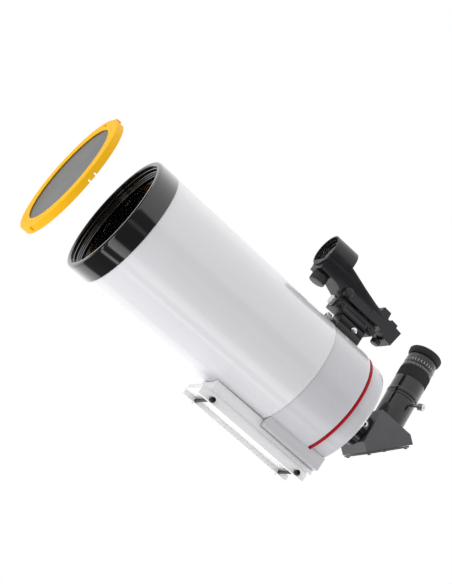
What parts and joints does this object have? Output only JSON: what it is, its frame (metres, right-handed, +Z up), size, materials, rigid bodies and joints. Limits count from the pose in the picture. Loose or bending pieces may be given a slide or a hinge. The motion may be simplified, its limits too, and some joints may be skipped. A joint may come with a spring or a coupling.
{
  "type": "telescope",
  "caption": "Maksutov-type Cassegrain telescope tube on a dovetail rail, with a reflex finder, a star diagonal with eyepiece, and a film solar filter drawn off the front.",
  "frame": {"origin": "middle of the flat face under the dovetail rail's web, between its two side walls", "axes": "+X along the optical axis from the front of the tube to the eyepiece end, +Z up from the rail to the tube"},
  "size_m": [0.4955, 0.1506, 0.2513],
  "materials": {
    "black_gloss": "gloss",
    "black_matte": "matte",
    "black_plastic": "matte",
    "charcoal_plastic": "satin",
    "charcoal_metal": "matte",
    "white_paint": "gloss",
    "pale_grey_paint": "satin",
    "crimson_trim": "gloss",
    "yellow_plastic": "satin",
    "solar_film": "polished",
    "optical_glass": "coated",
    "mirror_coat": "polished",
    "bright_steel": "polished",
    "brass_bush": "turned",
    "dark_steel": "blackened",
    "black_rubber": "matte",
    "red_lamp": "clear red"
  },
  "bodies": {
    "tube": {"front_ring": "black_gloss", "corrector_lens": "optical_glass", "corrector_retainer": "black_matte", "secondary_baffle": "black_matte", "main_tube": "white_paint", "rear_cell": "pale_grey_paint", "trim_band": "crimson_trim", "back_cap": "pale_grey_paint", "primary_baffle": "black_matte", "focus_bush": "brass_bush", "visual_back": "black_gloss", "rail_riser": "white_paint", "dovetail_rail": "white_paint", "rail_bolt_front": "dark_steel", "rail_bolt_rear": "dark_steel", "finder_shoe": "black_plastic"},
    "solar_filter": {"filter_cap": "yellow_plastic", "filter_film": "solar_film", "filter_clamp": "yellow_plastic"},
    "mirror_cell": {"primary_mirror": "mirror_coat", "mirror_carriage": "black_matte"},
    "focuser": {"focus_knob": "black_plastic", "focus_screw": "bright_steel"},
    "back_screw": {"visual_back_screw": "bright_steel"},
    "diagonal_tube": {"diagonal_nose": "bright_steel"},
    "diagonal": {"diagonal_body": "charcoal_metal", "diagonal_mirror": "mirror_coat", "diagonal_cover": "charcoal_metal", "eyepiece_holder": "black_gloss", "cover_screw_1": "dark_steel", "cover_screw_2": "dark_steel", "cover_screw_3": "dark_steel", "cover_screw_4": "dark_steel"},
    "eyepiece_clamp": {"holder_screw": "bright_steel"},
    "eyepiece": {"eyepiece_barrel": "bright_steel", "eyepiece_body": "black_gloss", "grip_band": "black_rubber", "eyecup": "black_rubber", "eye_lens": "optical_glass", "field_lens": "optical_glass", "field_stop": "black_matte"},
    "finder_mount": {"finder_foot": "black_plastic", "foot_screw": "bright_steel", "finder_base": "charcoal_plastic", "base_screw": "bright_steel", "base_hex_front": "dark_steel", "base_hex_rear": "dark_steel"},
    "foot_clamp": {"shoe_screw": "bright_steel"},
    "finder_swivel": {"finder_cradle": "black_plastic", "finder_pivot": "bright_steel"},
    "finder": {"finder_body": "charcoal_plastic", "finder_window": "optical_glass", "window_ring": "black_plastic", "finder_lamp": "red_lamp", "finder_battery": "bright_steel"},
    "finder_altitude": {"altitude_knob": "black_plastic"},
    "finder_azimuth": {"azimuth_knob": "black_plastic"},
    "finder_dimmer": {"brightness_knob": "charcoal_plastic"},
    "battery_cap": {"battery_door": "charcoal_plastic"}
  },
  "joints": [
    {"name": "filter_seat", "type": "slide", "parent": "tube", "child": "solar_filter", "axis": [1, 0, 0], "range_m": [0, 0.06]},
    {"name": "focus_turn", "type": "hinge", "parent": "tube", "child": "focuser", "pos_m": [0.095, 0.04, 0.089], "axis": [1, 0, 0], "range_deg": [-1445, 1445]},
    {"name": "mirror_travel", "type": "slide", "parent": "tube", "child": "mirror_cell", "axis": [1, 0, 0], "range_m": [-0.004, 0.004]},
    {"name": "back_screw_turn", "type": "hinge", "parent": "tube", "child": "back_screw", "pos_m": [0.099, -0.025, 0.089], "axis": [0, 1, 0], "range_deg": [-720, 0]},
    {"name": "diagonal_pull", "type": "slide", "parent": "tube", "child": "diagonal_tube", "axis": [1, 0, 0], "range_m": [0, 0.032]},
    {"name": "diagonal_turn", "type": "hinge", "parent": "diagonal_tube", "child": "diagonal", "pos_m": [0.1116, 0, 0.089], "axis": [1, 0, 0], "continuous": true},
    {"name": "eyepiece_clamp_turn", "type": "hinge", "parent": "diagonal", "child": "eyepiece_clamp", "pos_m": [0.1365, 0.00627, 0.14867], "axis": [0.4067, -0.9085, 0.0955], "range_deg": [-720, 0]},
    {"name": "eyepiece_lift", "type": "slide", "parent": "diagonal", "child": "eyepiece", "axis": [0, 0.1045, 0.9945], "range_m": [0, 0.04]},
    {"name": "finder_slide", "type": "slide", "parent": "tube", "child": "finder_mount", "axis": [-1, 0, 0], "range_m": [0, 0.042]},
    {"name": "foot_clamp_turn", "type": "hinge", "parent": "finder_mount", "child": "foot_clamp", "pos_m": [0.003, 0, 0.1664], "axis": [1, 0, 0], "range_deg": [-720, 0]},
    {"name": "finder_aim_side", "type": "hinge", "parent": "finder_mount", "child": "finder_swivel", "pos_m": [0.039, 0, 0.189], "axis": [0, 0, 1], "range_deg": [-2, 2]},
    {"name": "finder_aim_up", "type": "hinge", "parent": "finder_swivel", "child": "finder", "pos_m": [0.021, 0, 0.196], "axis": [0, 1, 0], "range_deg": [-1.5, 1.5]},
    {"name": "altitude_turn", "type": "hinge", "parent": "finder", "child": "finder_altitude", "pos_m": [-0.032, 0, 0.194], "axis": [0, 0, 1], "range_deg": [-362, 362]},
    {"name": "azimuth_turn", "type": "hinge", "parent": "finder", "child": "finder_azimuth", "pos_m": [0.068, 0, 0.182], "axis": [0, 0, 1], "range_deg": [-362, 362]},
    {"name": "dimmer_turn", "type": "hinge", "parent": "finder", "child": "finder_dimmer", "pos_m": [0.0013, -0.015, 0.1984], "axis": [0, -1, 0], "range_deg": [0, 270]},
    {"name": "battery_cap_pull", "type": "slide", "parent": "finder", "child": "battery_cap", "axis": [0, 1, 0], "range_m": [0, 0.006]}
  ],
  "couplings": [
    {"joint": "focus_turn", "follows": "mirror_travel", "rad_per_m": 6283.2},
    {"joint": "altitude_turn", "follows": "finder_aim_up", "ratio": 240},
    {"joint": "azimuth_turn", "follows": "finder_aim_side", "ratio": 180}
  ]
}
